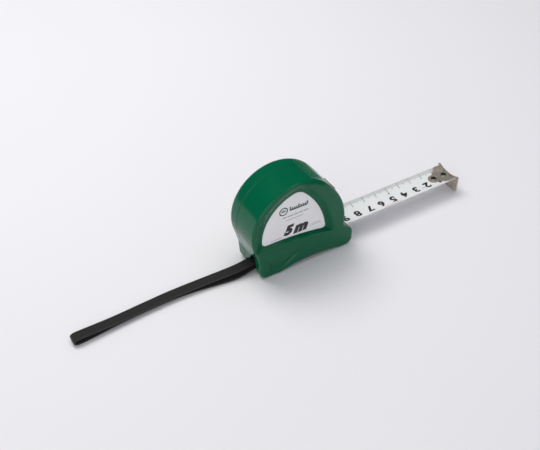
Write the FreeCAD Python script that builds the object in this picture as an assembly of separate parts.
import FreeCAD, Part
import math
import os

os.makedirs("parts", exist_ok=True)
Vec = FreeCAD.Vector

# Pocket tape measure, millimetres. The blade runs out along +X, +Z is up, and the labelled
# face looks along -Y. The origin is on the ground, midway along case and drawn blade.

# ---- driving sizes ----------------------------------------------------------------------
case_radius = 32.0        # round back of the case, about the reel axis
case_thick = 31.0         # across both shells
axis_height = 34.8        # reel axis above the ground
chin_reach = 44.0         # reel axis to the front of the chin
blade_drawn = 94.0        # chin to the zero face of the hook
wall = 2.2                # shell wall
front_round = 2.6         # round between rim and labelled face
back_round = 4.6
seam_y = 5.0              # parting plane of the two shells
brow_radius = 47.0        # front slope above the mouth
brow_angle = 48.0         # where the slope leaves the round back, degrees
heel_angle = 196.0        # where the heel leaves the round back, degrees
brow_end_angle = -3.0     # where the slope ends above the mouth, degrees
nose_drop = 3.0           # straight run below the slope
heel_run = 12.0           # straight run below the round back
foot_front = 10.5         # ground arch back from the chin
foot_back = 20.5          # ground arch forward of the round back
arch_rise = 2.8           # ground arch between the feet
arch_slope = 13.0         # arch sides where they leave the feet, degrees
foot_corner = 5.3         # round of heel and chin corners

blade_width = 19.0        # flat width of the steel
blade_thick = 0.15
blade_crown = 2.2         # edge height above the middle of the hollow blade
blade_bottom = 10.0       # underside of the blade's middle above the ground
blade_gap = 0.7           # side clearance in the mouth
hook_thick = 1.0
hook_drop = 9.3           # hook below the blade's middle
hook_play = 0.5           # true-zero travel each way
plate_gap = 0.06          # hook plate over the blade
plate_thick = 0.7
plate_length = 17.0
tongue_half = 3.6         # half width of the plate's rear tongue
shoulder = 5.2            # full width of the plate, back from the zero face
flange_half = 10.5
flange_corner = 0.8
rivet_radius = 1.1
rivet_places = (4.2, 13.2)    # back from the zero face
rivet_head_thick = 0.5

coil_inner = 15.3
coil_outer = 21.9
drum_wall = 1.3
reel_width = 20.0
flange_radius = 18.0
flange_thick = 0.6
post_radius = 4.6
running_gap = 0.06
liner_thick = 0.3
liner_radius = 19.0
spring_thick = 0.45
spring_turns = 8
spring_width = 16.0
spigot_step = 1.0         # spigot smaller than the post
spigot_depth = 1.0
pilot_depth = 16.0        # screw hole down the post

label_thick = 0.5
label_fit = 0.15
dish_depth = 2.6
dish_wall = 1.6
dish_margin = 2.6
label_corner = 3.0

screw_head_radius = 2.6
screw_head_thick = 1.5
screw_radius = 1.25
boss_radius = 3.4
boss_root = 0.5           # how far a boss sinks into the rim wall
screw_sink = 0.8          # screw heads below the side face
screw_length = 22.0
post_head_thick = 1.0
boss_angles = (51.0, 135.0)   # the two bosses on the round back

pocket_wall = 1.8         # strap notch in the heel
pocket_reach = 13.8       # notch forward of the round back
pocket_yz = [(-9.6, -5.0), (4.2, -5.0), (4.2, 4.6), (-1.6, 9.8), (-6.0, 17.0), (-9.6, 17.0)]
scoop_radius = 30.0       # thumb hollow near the heel of each side face
scoop_depth = 1.1
scoop_place = (-9.5, 11.5)
scoop_window = (-20.2, 2.0, 3.6, 19.5)

lock_travel = 7.0
lock_width = 12.0
lock_length = 11.0
lock_height = 1.3
lock_lift = 0.35          # cap above the slope
lock_edge = 0.35
saddle_radius = 18.0      # hollow along the cap
saddle_depth = 0.6
lock_stem_half = 3.2
lock_home_rise = 4.0      # button's lower stop above the reel axis
tongue_gap = 0.2          # lock tongue over the brake arm
lock_stem_width = 5.0
lock_gap = 0.25
brake_lift = 6.0          # brake arm opening, degrees
brake_pin_radius = 1.2
brake_arm_width = 9.0
brake_seat = 2.2          # rings that hold the brake pin
arm_top = 17.4
arm_thick = 1.8
pad_half = 2.0
pad_gap = 0.75            # open brake pad over the blade
leaf_thick = 0.35
leaf_half = 3.5
leaf_span = (15.5, 23.5)  # leaf on the slope, degrees above the button's lower stop

guide_half = 8.0
guide_low = 5.7
guide_gap = 0.25          # guide under the blade
guide_span = (15.0, 12.0)     # back from the chin
bumper_back = 2.4
bumper_half = 5.5
bumper_low = 3.6

strap_width = 7.0
strap_thick = 1.0
strap_y = -1.9
pin_radius = 1.1
pin_back, pin_z = 9.6, 4.6    # strap pin forward of the round back, and its height
strap_route = [
    (-75.9, 6.2), (-81.5, 6.2), (-90.0, 5.3), (-103.0, 4.2), (-120.0, 3.3), (-138.0, 3.1),
    (-156.0, 3.1), (-172.0, 3.3), (-183.0, 3.8), (-189.8, 4.3), (-194.9, 4.6), (-198.2, 4.6),
    (-200.2, 4.1), (-201.1, 2.8), (-200.5, 1.5), (-198.5, 0.75), (-194.9, 0.62), (-189.6, 0.6),
    (-182.0, 0.65), (-170.5, 0.6), (-155.0, 0.65), (-138.0, 0.6), (-121.0, 0.7), (-106.0, 0.65),
    (-94.0, 0.9), (-86.0, 1.6), (-80.5, 2.5), (-75.9, 3.0)]

# ---- values that follow -------------------------------------------------------------------
half = case_thick / 2
total_length = case_radius + chin_reach + blade_drawn + hook_thick
axis_x = case_radius - total_length / 2
axis_z = axis_height
zero_x = axis_x + chin_reach + blade_drawn
chin_x = axis_x + chin_reach
inner_half = half - wall
blade_middle = blade_bottom + blade_thick


def at(u, z, y=0.0):
    """A point given forward of the reel axis and above the ground."""
    return Vec(axis_x + u, y, z)


def on_circle(centre, radius, degrees):
    a = math.radians(degrees)
    return (centre[0] + radius * math.cos(a), centre[1] + radius * math.sin(a))


def arc3(a, b, c):
    return Part.Arc(at(*a), at(*b), at(*c)).toShape()


def rounded_run(points):
    """Straight runs through (u, z, radius) points with tangent arcs at the inner ones."""
    edges = []
    last = at(*points[0][:2])
    for before, here, after in zip(points, points[1:], points[2:]):
        p, a, b = at(*here[:2]), at(*before[:2]), at(*after[:2])
        ua, ub = (a - p).normalize(), (b - p).normalize()
        half_angle = ua.getAngle(ub) / 2
        reach = here[2] / math.tan(half_angle)
        start, end = p + ua * reach, p + ub * reach
        middle_way = (ua + ub).normalize()
        middle = p + middle_way * (here[2] / math.sin(half_angle) - here[2])
        if (start - last).Length > 1e-6:
            edges.append(Part.LineSegment(last, start).toShape())
        edges.append(Part.Arc(start, middle, end).toShape())
        last = end
    edges.append(Part.LineSegment(last, at(*points[-1][:2])).toShape())
    return edges


def case_outline():
    """Side outline of the case as a face in the plane Y = 0."""
    centre = (0.0, axis_z)
    shift = case_radius - brow_radius
    brow_centre = on_circle(centre, shift, brow_angle)
    heel_start = on_circle(centre, case_radius, heel_angle)
    brow_start = on_circle(centre, case_radius, brow_angle)
    brow_end = on_circle(brow_centre, brow_radius, brow_end_angle)
    a = math.radians(brow_end_angle)
    nose = (brow_end[0] + nose_drop * math.sin(a), brow_end[1] - nose_drop * math.cos(a), 4.0)
    h = math.radians(heel_angle)
    heel = (heel_start[0] - heel_run * math.sin(h), heel_start[1] + heel_run * math.cos(h), 12.0)
    chin_top = (chin_reach, 12.0, foot_corner)
    chin_low = (chin_reach, 0.0, foot_corner)
    arch_front, arch_back = chin_reach - foot_front, foot_back - case_radius
    slope = math.radians(arch_slope)
    arch_half = (arch_front - arch_back) / 2
    apex_height = arch_half * math.tan(slope)
    arch_radius = (apex_height - arch_rise) / (1 / math.cos(slope) - 1)
    apex = ((arch_front + arch_back) / 2, apex_height, arch_radius)
    edges = [arc3(heel_start, on_circle(centre, case_radius, 120.0), brow_start)]
    edges.append(arc3(brow_start, on_circle(brow_centre, brow_radius, 22.0), brow_end))
    run = [brow_end, nose, chin_top, chin_low, (arch_front, 0.0, 8.0), apex, (arch_back, 0.0, 8.0)]
    run += [(heel[0] + 1.2, 0.0, foot_corner), heel, heel_start]
    edges += rounded_run(run)
    return Part.Face(Part.Wire(Part.__sortEdges__(edges)))


def slab(face, y0, y1):
    """A face of the plane Y = 0 made a solid from y0 to y1."""
    moved = face.copy()
    moved.translate(Vec(0, y0, 0))
    return moved.extrude(Vec(0, y1 - y0, 0))


def block(u0, u1, y0, y1, z0, z1):
    return Part.makeBox(u1 - u0, y1 - y0, z1 - z0, at(u0, z0, y0))


def rod(u, z, radius, y0, y1):
    return Part.makeCylinder(radius, y1 - y0, at(u, z, y0), Vec(0, 1, 0))


def ring(u, z, inner, outer, y0, y1):
    return rod(u, z, outer, y0, y1).cut(rod(u, z, inner, y0, y1))


def save(shape, name):
    shape = shape.removeSplitter()
    solids = shape.Solids
    out = solids[0] if len(solids) == 1 else Part.makeCompound(solids)
    out.exportStep("parts/%s.step" % name)
    print("%-16s solids %d volume %.1f valid %s" % (name, len(solids), out.Volume, out.isValid()))
    return out


# ---- case ---------------------------------------------------------------------------------
outline = case_outline()
outer = slab(outline, -half, half)
for face_y, size in ((-half, front_round), (half, back_round)):
    side_edges = [e for e in outer.Edges if abs(e.BoundBox.YMin - face_y) < 1e-6
                  and e.BoundBox.YLength < 1e-6]
    outer = outer.makeFillet(size, side_edges)
inner_outline = outline.makeOffset2D(-wall)
cavity = slab(inner_outline, -inner_half, inner_half)


def label_outline(grow):
    """D shape: a round back, a flatter front slope and a slightly hollow base."""
    top, front, back = (2.6, axis_z + 25.2), (22.9, axis_z - 13.2), (-24.2, axis_z - 8.8)
    edges = [arc3(back, (-15.2, axis_z + 16.9), top), arc3(top, (16.2, axis_z + 8.5), front)]
    edges.append(arc3(front, (1.0, axis_z - 9.6), back))
    face = Part.Face(Part.Wire(edges))
    face = face.makeOffset2D(-label_corner).makeOffset2D(label_corner + grow)
    return Part.Face(face.Wires[0])


dish = label_outline(dish_margin)

# strap pocket in the heel: a slanted notch, walled inside
pocket_front = pocket_reach - case_radius


def pocket_solid(grow, front):
    points = [Vec(axis_x - case_radius - 5, y, z) for y, z in pocket_yz]
    face = Part.Face(Part.makePolygon(points + points[:1]))
    if grow:
        face = Part.Face(face.makeOffset2D(grow).Wires[0])
    return face.extrude(Vec(case_radius + 5 + front, 0, 0))


pocket = pocket_solid(0.0, pocket_front)
pocket_shell = pocket_solid(pocket_wall, pocket_front + pocket_wall)

# mouth for the blade, and the seat of the guide under it
mouth_half = blade_width / 2 + blade_gap
mouth_low = blade_bottom - 0.7
mouth_high = blade_middle + blade_crown + 1.2
mouth_start = chin_reach - 16.0
mouth = block(mouth_start, chin_reach + 2, -mouth_half, mouth_half, mouth_low, mouth_high)

# screws join the shells outside the coil
boss_orbit = case_radius - wall - boss_radius + boss_root
screw_places = [(-14.5, 5.3), (chin_reach - 8.4, 4.9)]
screw_places += [on_circle((0.0, axis_z), boss_orbit, a) for a in boss_angles]

shells = outer.cut(cavity)
shells = shells.fuse(pocket_shell.common(outer))
for u, z in screw_places:
    boss = rod(u, z, boss_radius, -inner_half, half - wall)
    shells = shells.fuse(boss.common(outer))
dish_floor = half - dish_depth
floor_inner = dish_floor - dish_wall
floor_edge = dish_depth + dish_wall
shells = shells.fuse(slab(dish, -half + 0.3, -half + floor_edge).common(outer))
shells = shells.fuse(slab(dish, half - floor_edge, half - 0.3).common(outer))
shells = shells.cut(slab(dish, -half - 1, -dish_floor))
shells = shells.cut(slab(dish, dish_floor, half + 1))
shells = shells.cut(pocket).cut(mouth)

# thumb hollow low on each side face
scoop_u0, scoop_u1, scoop_z0, scoop_z1 = scoop_window
for side in (-1, 1):
    ball_y = side * (half + scoop_radius - scoop_depth)
    scoop = Part.makeSphere(scoop_radius, at(*scoop_place, ball_y))
    window = block(scoop_u0, scoop_u1, side * half - 2, side * half + 2, scoop_z0, scoop_z1)
    shells = shells.cut(scoop.common(window))

# lock track: a through slot down the front slope
brow_centre = on_circle((0.0, axis_z), case_radius - brow_radius, brow_angle)
lock_home_angle = math.degrees(math.asin((axis_z + lock_home_rise - brow_centre[1]) / brow_radius))
lock_home = at(*on_circle(brow_centre, brow_radius, lock_home_angle))
out_angle = math.radians(lock_home_angle) + lock_travel / 2 / brow_radius
out_way = Vec(math.cos(out_angle), 0, math.sin(out_angle))
slope = Vec(math.sin(out_angle), 0, -math.cos(out_angle))


def lock_block(along0, along1, out0, out1, width):
    """A block in the lock's own directions: along the slope, out of the case, and across."""
    corner = lock_home + slope * along0 + out_way * out0 + Vec(0, -width / 2, 0)
    points = [corner, corner + slope * (along1 - along0)]
    points.append(points[1] + out_way * (out1 - out0))
    points.append(corner + out_way * (out1 - out0))
    face = Part.Face(Part.makePolygon(points + points[:1]))
    return face.extrude(Vec(0, width, 0))


slot = lock_block(-lock_travel - lock_stem_half - lock_gap, lock_stem_half + lock_gap, -6.0, 4.0,
                  lock_stem_width + 2 * lock_gap)
shells = shells.cut(slot)

# holes for screws, strap pin and brake pin
head_y = half - screw_sink
for u, z in screw_places:
    shells = shells.cut(rod(u, z, screw_radius, head_y - screw_length - 0.5, half + 1))
    shells = shells.cut(rod(u, z, screw_head_radius + 0.1, head_y - screw_head_thick, half + 1))
pin_u = pin_back - case_radius
pin_y0, pin_y1 = pocket_yz[0][0] - pocket_wall, pocket_yz[1][0] + pocket_wall
shells = shells.cut(rod(pin_u, pin_z, pin_radius, pin_y0, pin_y1))
brake_u, brake_z = chin_reach - 18.4, 19.0
for y0, y1 in ((-inner_half, -inner_half + brake_seat), (inner_half - brake_seat, inner_half)):
    seat_ring = rod(brake_u, brake_z, brake_pin_radius + 1.2, y0, y1)
    shells = shells.fuse(seat_ring).cut(rod(brake_u, brake_z, brake_pin_radius, y0, y1))

# rib that carries the mouth guide, and the pocket of the bumper in the chin
guide_u0, guide_u1 = (chin_reach - back for back in guide_span)
shells = shells.fuse(block(guide_u0, guide_u1, -inner_half, inner_half, wall, guide_low))
bumper = block(chin_reach - bumper_back, chin_reach + 0.5, -bumper_half, bumper_half,
               bumper_low, mouth_low - 0.8)
shells = shells.cut(bumper)

spigot_radius = post_radius - spigot_step
shells = shells.cut(rod(0, axis_z, spigot_radius, -floor_inner - spigot_depth, -floor_inner))

far = total_length
low_half = block(-far, far, -far, seam_y, -far, far)
high_half = block(-far, far, seam_y, far, -far, far)
front_case = shells.common(low_half)
back_case = shells.common(high_half)
back_case = back_case.cut(rod(0, axis_z, screw_radius, seam_y, half + 1))
back_case = back_case.cut(rod(0, axis_z, screw_head_radius + 0.1, dish_floor - post_head_thick, half))
save(front_case, "front_case")
save(back_case, "back_case")


# ---- labels ---------------------------------------------------------------------------------
label_face = label_outline(-label_fit)
save(slab(label_face, -dish_floor - label_thick, -dish_floor), "front_label")
save(slab(label_face, dish_floor, dish_floor + label_thick), "back_label")

# ---- blade and hook ---------------------------------------------------------------------------
crown_radius = (blade_width ** 2 / 4 + blade_crown ** 2) / (2 * blade_crown)
crown_half = blade_width / 2 / 1.035


def crown_strip(x0, x1, low, thick, half_width):
    """A strip hollow side up, its middle at height low, between two stations along X."""
    centre_z = low + crown_radius
    inner_r, outer_r = crown_radius - thick, crown_radius
    a = math.asin(half_width / crown_radius)
    ends = []
    for radius in (outer_r, inner_r):
        left = Vec(x0, -radius * math.sin(a), centre_z - radius * math.cos(a))
        right = Vec(x0, radius * math.sin(a), centre_z - radius * math.cos(a))
        ends.append((left, Vec(x0, 0, centre_z - radius), right))
    (a0, am, a1), (b0, bm, b1) = ends
    edges = [Part.Arc(a0, am, a1).toShape(), Part.LineSegment(a1, b1).toShape()]
    edges += [Part.Arc(b1, bm, b0).toShape(), Part.LineSegment(b0, a0).toShape()]
    return Part.Face(Part.Wire(edges)).extrude(Vec(x1 - x0, 0, 0))


blade_inner_x = axis_x + 4.0
blade_end_x = zero_x - hook_play - 0.3
blade = crown_strip(blade_inner_x, blade_end_x, blade_bottom, blade_thick, crown_half)
plate_low = blade_middle + plate_gap
plate_half = crown_half - 0.2
plate = crown_strip(zero_x - plate_length, zero_x + hook_thick, plate_low, plate_thick, plate_half)
cut_high = blade_bottom + blade_crown + 4
for side in (-1, 1):
    points = [Vec(zero_x - plate_length - 1, side * tongue_half, 0)]
    points.append(Vec(zero_x - plate_length + 5.0, side * tongue_half, 0))
    points.append(Vec(zero_x - shoulder, side * (plate_half + 0.6), 0))
    points.append(Vec(zero_x - plate_length - 1, side * (plate_half + 0.6), 0))
    wedge = Part.Face(Part.makePolygon(points + points[:1])).extrude(Vec(0, 0, cut_high))
    plate = plate.cut(wedge)
nose_round = Part.makeCylinder(tongue_half, cut_high, Vec(zero_x - plate_length + tongue_half, 0, 0))
nose_box = Part.makeBox(tongue_half + 1, 2 * tongue_half + 2, cut_high,
                        Vec(zero_x - plate_length - 1, -tongue_half - 1, 0))
plate = plate.cut(nose_box.cut(nose_round))
flange_low = blade_middle - hook_drop
flange_points = []
for side in (-1, 1):
    run = [(side * flange_half, blade_bottom + 3.0), (side * flange_half, flange_low + flange_corner)]
    run.append((side * (flange_half - flange_corner), flange_low))
    flange_points += run[::-side]
flange_yz = [Vec(zero_x, y, z) for y, z in flange_points]
flange = Part.Face(Part.makePolygon(flange_yz + flange_yz[:1])).extrude(Vec(hook_thick, 0, 0))
over = crown_strip(zero_x - 1, zero_x + hook_thick + 1, plate_low + plate_thick, 6.0, flange_half + 1)
hook = plate.fuse(flange.cut(over))
rivets = []
head_rise = (rivet_radius + 0.9) ** 2 / (2 * crown_radius)
head_low = plate_low + plate_thick + 0.05 + head_rise
rivet_hole = rivet_radius + 0.05
for back in rivet_places:
    x = zero_x - back
    shank = Part.makeCylinder(rivet_radius, head_low - blade_bottom + 0.3, Vec(x, 0, blade_bottom - 0.3))
    head = Part.makeCylinder(rivet_radius + 0.9, rivet_head_thick, Vec(x, 0, head_low))
    tail = Part.makeCylinder(rivet_radius + 0.7, 0.3, Vec(x, 0, blade_bottom - 0.3))
    rivets.append(shank.fuse(head).fuse(tail).removeSplitter().Solids[0])
    slot_high = plate_thick + 2
    for end in (-hook_play, hook_play):
        hook = hook.cut(Part.makeCylinder(rivet_hole, slot_high, Vec(x + end, 0, plate_low - 1)))
    slot_box = Part.makeBox(2 * hook_play, 2 * rivet_hole, slot_high,
                            Vec(x - hook_play, -rivet_hole, plate_low - 1))
    hook = hook.cut(slot_box)
    blade = blade.cut(Part.makeCylinder(rivet_radius, 2, Vec(x, 0, blade_bottom - 1)))
save(blade, "blade")
save(hook, "end_hook")
rivets = [r.cut(blade) for r in rivets]
save(Part.makeCompound(rivets), "hook_rivets")

# ---- reel, coil, spring, post -------------------------------------------------------------------
coil_half = blade_width / 2
save(ring(0, axis_z, coil_inner, coil_outer, -coil_half, coil_half), "tape_coil")
reel_half = reel_width / 2
drum_inner = coil_inner - drum_wall
bore = post_radius + running_gap
web_y0 = reel_half - 1.2
reel = ring(0, axis_z, drum_inner, coil_inner, -reel_half, reel_half)
reel = reel.fuse(ring(0, axis_z, bore, coil_inner, web_y0, reel_half))
reel = reel.fuse(ring(0, axis_z, coil_inner - 0.5, flange_radius, reel_half - 0.4, reel_half + flange_thick))
reel = reel.fuse(ring(0, axis_z, bore, bore + 1.6, web_y0 - 1.0, reel_half + flange_thick))
save(reel, "reel")
cover = ring(0, axis_z, bore, flange_radius, -reel_half - flange_thick, -reel_half)
cover = cover.fuse(ring(0, axis_z, drum_inner - 1.2, drum_inner, -reel_half, -reel_half + 1.6))
save(cover, "reel_cover")


def spiral_points(start, end, turns, count):
    points = []
    for i in range(count + 1):
        t = i / count
        a = 2 * math.pi * turns * t
        r = start + (end - start) * t
        points.append(at(r * math.cos(a), axis_z + r * math.sin(a)))
    return points


spring_in = post_radius + 1.9
spring_out = drum_inner - 1.9
spring_edges = []
count = spring_turns * 24
inside = spiral_points(spring_in, spring_out, spring_turns, count)
outside = spiral_points(spring_in + spring_thick, spring_out + spring_thick, spring_turns, count)
for points in (inside, outside):
    curve = Part.BSplineCurve()
    curve.interpolate(points)
    spring_edges.append(curve.toShape())
spring_edges.append(Part.LineSegment(inside[0], outside[0]).toShape())
spring_edges.append(Part.LineSegment(inside[-1], outside[-1]).toShape())
spring_face = Part.Face(Part.Wire(Part.__sortEdges__(spring_edges)))
save(slab(spring_face, -spring_width / 2, spring_width / 2 - 0.6), "power_spring")

post = rod(0, axis_z, post_radius, -floor_inner, floor_inner)
post = post.fuse(rod(0, axis_z, spigot_radius, -floor_inner - spigot_depth, -floor_inner))
post = post.cut(block(-0.4, 0.4, -spring_width / 2, spring_width / 2 - 0.6, axis_z, axis_z + 10))
post = post.cut(rod(0, axis_z, screw_radius, floor_inner - pilot_depth, floor_inner + 1))
save(post, "centre_post")


def screw_at(u, z, head_y, head_thick, length, cross_depth):
    """Screw driven from the back, its flat head level with head_y, with a cross recess."""
    head = rod(u, z, screw_head_radius, head_y - head_thick, head_y)
    body = head.fuse(rod(u, z, screw_radius, head_y - length, head_y - head_thick))
    for wide, high in ((1.4, 0.3), (0.3, 1.4)):
        body = body.cut(block(u - wide, u + wide, head_y - cross_depth, head_y + 1, z - high, z + high))
    return body


screws = [screw_at(u, z, head_y, screw_head_thick, screw_length, 0.9) for u, z in screw_places]
save(Part.makeCompound(screws), "case_screws")
save(screw_at(0, axis_z, dish_floor, post_head_thick, pilot_depth, 0.5), "post_screw")

# ---- low-friction liners between reel and shells ---------------------------------------------
for side, name in ((-1, "front_liner"), (1, "back_liner")):
    faces = sorted((side * floor_inner, side * (floor_inner - liner_thick)))
    save(ring(0, axis_z, post_radius, liner_radius, faces[0], faces[1]), name)

# ---- lock -------------------------------------------------------------------------------------
cap_top = lock_lift + lock_height
button = lock_block(-lock_length / 2, lock_length / 2, lock_lift, cap_top, lock_width)
cap_edges = [e for e in button.Edges if e.BoundBox.YLength < 1e-6
             or (e.CenterOfMass - lock_home).dot(out_way) > cap_top - 0.01]
button = button.makeFillet(lock_edge, cap_edges)
saddle_axis = lock_home + out_way * (cap_top - saddle_depth + saddle_radius) - Vec(0, lock_width, 0)
button = button.cut(Part.makeCylinder(saddle_radius, 2 * lock_width, saddle_axis, Vec(0, 1, 0)))
for k in range(3):
    along = -2.6 + 2.2 * k
    groove_low = cap_top - saddle_depth - 0.2
    button = button.cut(lock_block(along, along + 0.8, groove_low, cap_top, lock_width - 2.4))
stem_low = -wall - 0.9
tongue_low = stem_low - 7.3
stem = lock_block(-lock_stem_half, lock_stem_half, tongue_low, lock_lift + 0.4, lock_stem_width)
keeper_half = lock_stem_half + 1.5
keeper = lock_block(-keeper_half, keeper_half, stem_low - 1.4, stem_low, lock_stem_width + 4)
tongue_end = (lock_home.z + tongue_low * out_way.z - arm_top - tongue_gap) / -slope.z
tongue = lock_block(0, tongue_end, tongue_low, tongue_low + 1.2, lock_stem_width)
button = button.fuse(stem).fuse(keeper).fuse(tongue)
save(button, "lock_button")

# brake arm: turns on its pin and presses a rubber pad on the blade when the lock is down
arm_z0, arm_z1 = arm_top - arm_thick, arm_top
pad_u = chin_reach - 11.5
arm_half = brake_arm_width / 2
arm = rod(brake_u, brake_z, brake_pin_radius + 1.3, -arm_half, arm_half)
arm = arm.fuse(block(brake_u, pad_u + pad_half, -arm_half, arm_half, arm_z0, arm_z1))
arm = arm.cut(rod(brake_u, brake_z, brake_pin_radius + running_gap, -arm_half - 1, arm_half + 1))
save(arm, "brake_arm")
pad_low = blade_middle + pad_gap
save(block(pad_u - pad_half, pad_u + pad_half, -arm_half + 0.5, arm_half - 0.5, pad_low, arm_z0), "brake_pad")
pin_half = inner_half - brake_seat + 1.4
save(rod(brake_u, brake_z, brake_pin_radius, -pin_half, pin_half), "brake_pin")

# leaf that clicks the lock button into its two places
leaf_start, leaf_end = (lock_home_angle + a for a in leaf_span)
leaf_arcs = []
for radius in (brow_radius - wall, brow_radius - wall - leaf_thick):
    stations = [on_circle(brow_centre, radius, a) for a in
                (leaf_start, (leaf_start + leaf_end) / 2, leaf_end)]
    leaf_arcs.append((arc3(*stations), at(*stations[0]), at(*stations[2])))
leaf_edges = [leaf_arcs[0][0], leaf_arcs[1][0]]
leaf_edges += [Part.LineSegment(leaf_arcs[0][k], leaf_arcs[1][k]).toShape() for k in (1, 2)]
leaf_face = Part.Face(Part.Wire(Part.__sortEdges__(leaf_edges)))
save(slab(leaf_face, -leaf_half, leaf_half), "detent_leaf")

# ---- mouth --------------------------------------------------------------------------------------
guide_top = blade_bottom - guide_gap
save(block(guide_u0, guide_u1, -guide_half, guide_half, guide_low, guide_top), "mouth_guide")
save(bumper, "mouth_bumper")

# ---- wrist strap ----------------------------------------------------------------------------------
save(rod(pin_u, pin_z, pin_radius, pin_y0, pin_y1), "strap_pin")


# The strap is one flat loop. Its route, (x, z) at its middle, leaves over the pin, runs back
# along the ground, folds at its tip and comes home under the pin.
def route_wire(route, y):
    """Straight runs with tangent arcs, each arc as large as its two runs allow."""
    points = [Vec(x, y, z) for x, z in route]
    edges, radii = [], []
    last = points[0]
    for before, here, after in zip(points, points[1:], points[2:]):
        ua, ub = before - here, after - here
        reach = 0.45 * min(ua.Length, ub.Length)
        ua.normalize()
        ub.normalize()
        half_turn = (math.pi - ua.getAngle(ub)) / 2
        radius = reach / math.tan(half_turn)
        start, end = here + ua * reach, here + ub * reach
        inward = (ua + ub).normalize()
        middle = here + inward * (radius / math.cos(half_turn) - radius)
        edges.append(Part.LineSegment(last, start).toShape())
        edges.append(Part.Arc(start, middle, end).toShape())
        radii.append(radius)
        last = end
    edges.append(Part.LineSegment(last, points[-1]).toShape())
    return Part.Wire(edges), radii


strap_path, strap_radii = route_wire(strap_route, strap_y)
start = Vec(strap_route[0][0], strap_y, strap_route[0][1])
run_way = Vec(strap_route[1][0], strap_y, strap_route[1][1]) - start
across = Vec(0, 1, 0)
up_way = run_way.cross(across).normalize()
corners = [start + across * (strap_width / 2 * a) + up_way * (strap_thick / 2 * b)
           for a, b in ((-1, -1), (1, -1), (1, 1), (-1, 1))]
section = Part.makePolygon(corners + corners[:1])
strap = strap_path.makePipeShell([section], True, False)
print("strap length %.1f" % strap_path.Length, "radii", [round(r, 1) for r in strap_radii])
print("strap volume over section times length",
      round(strap.Volume / (strap_width * strap_thick * strap_path.Length), 4))
save(strap, "wrist_strap")
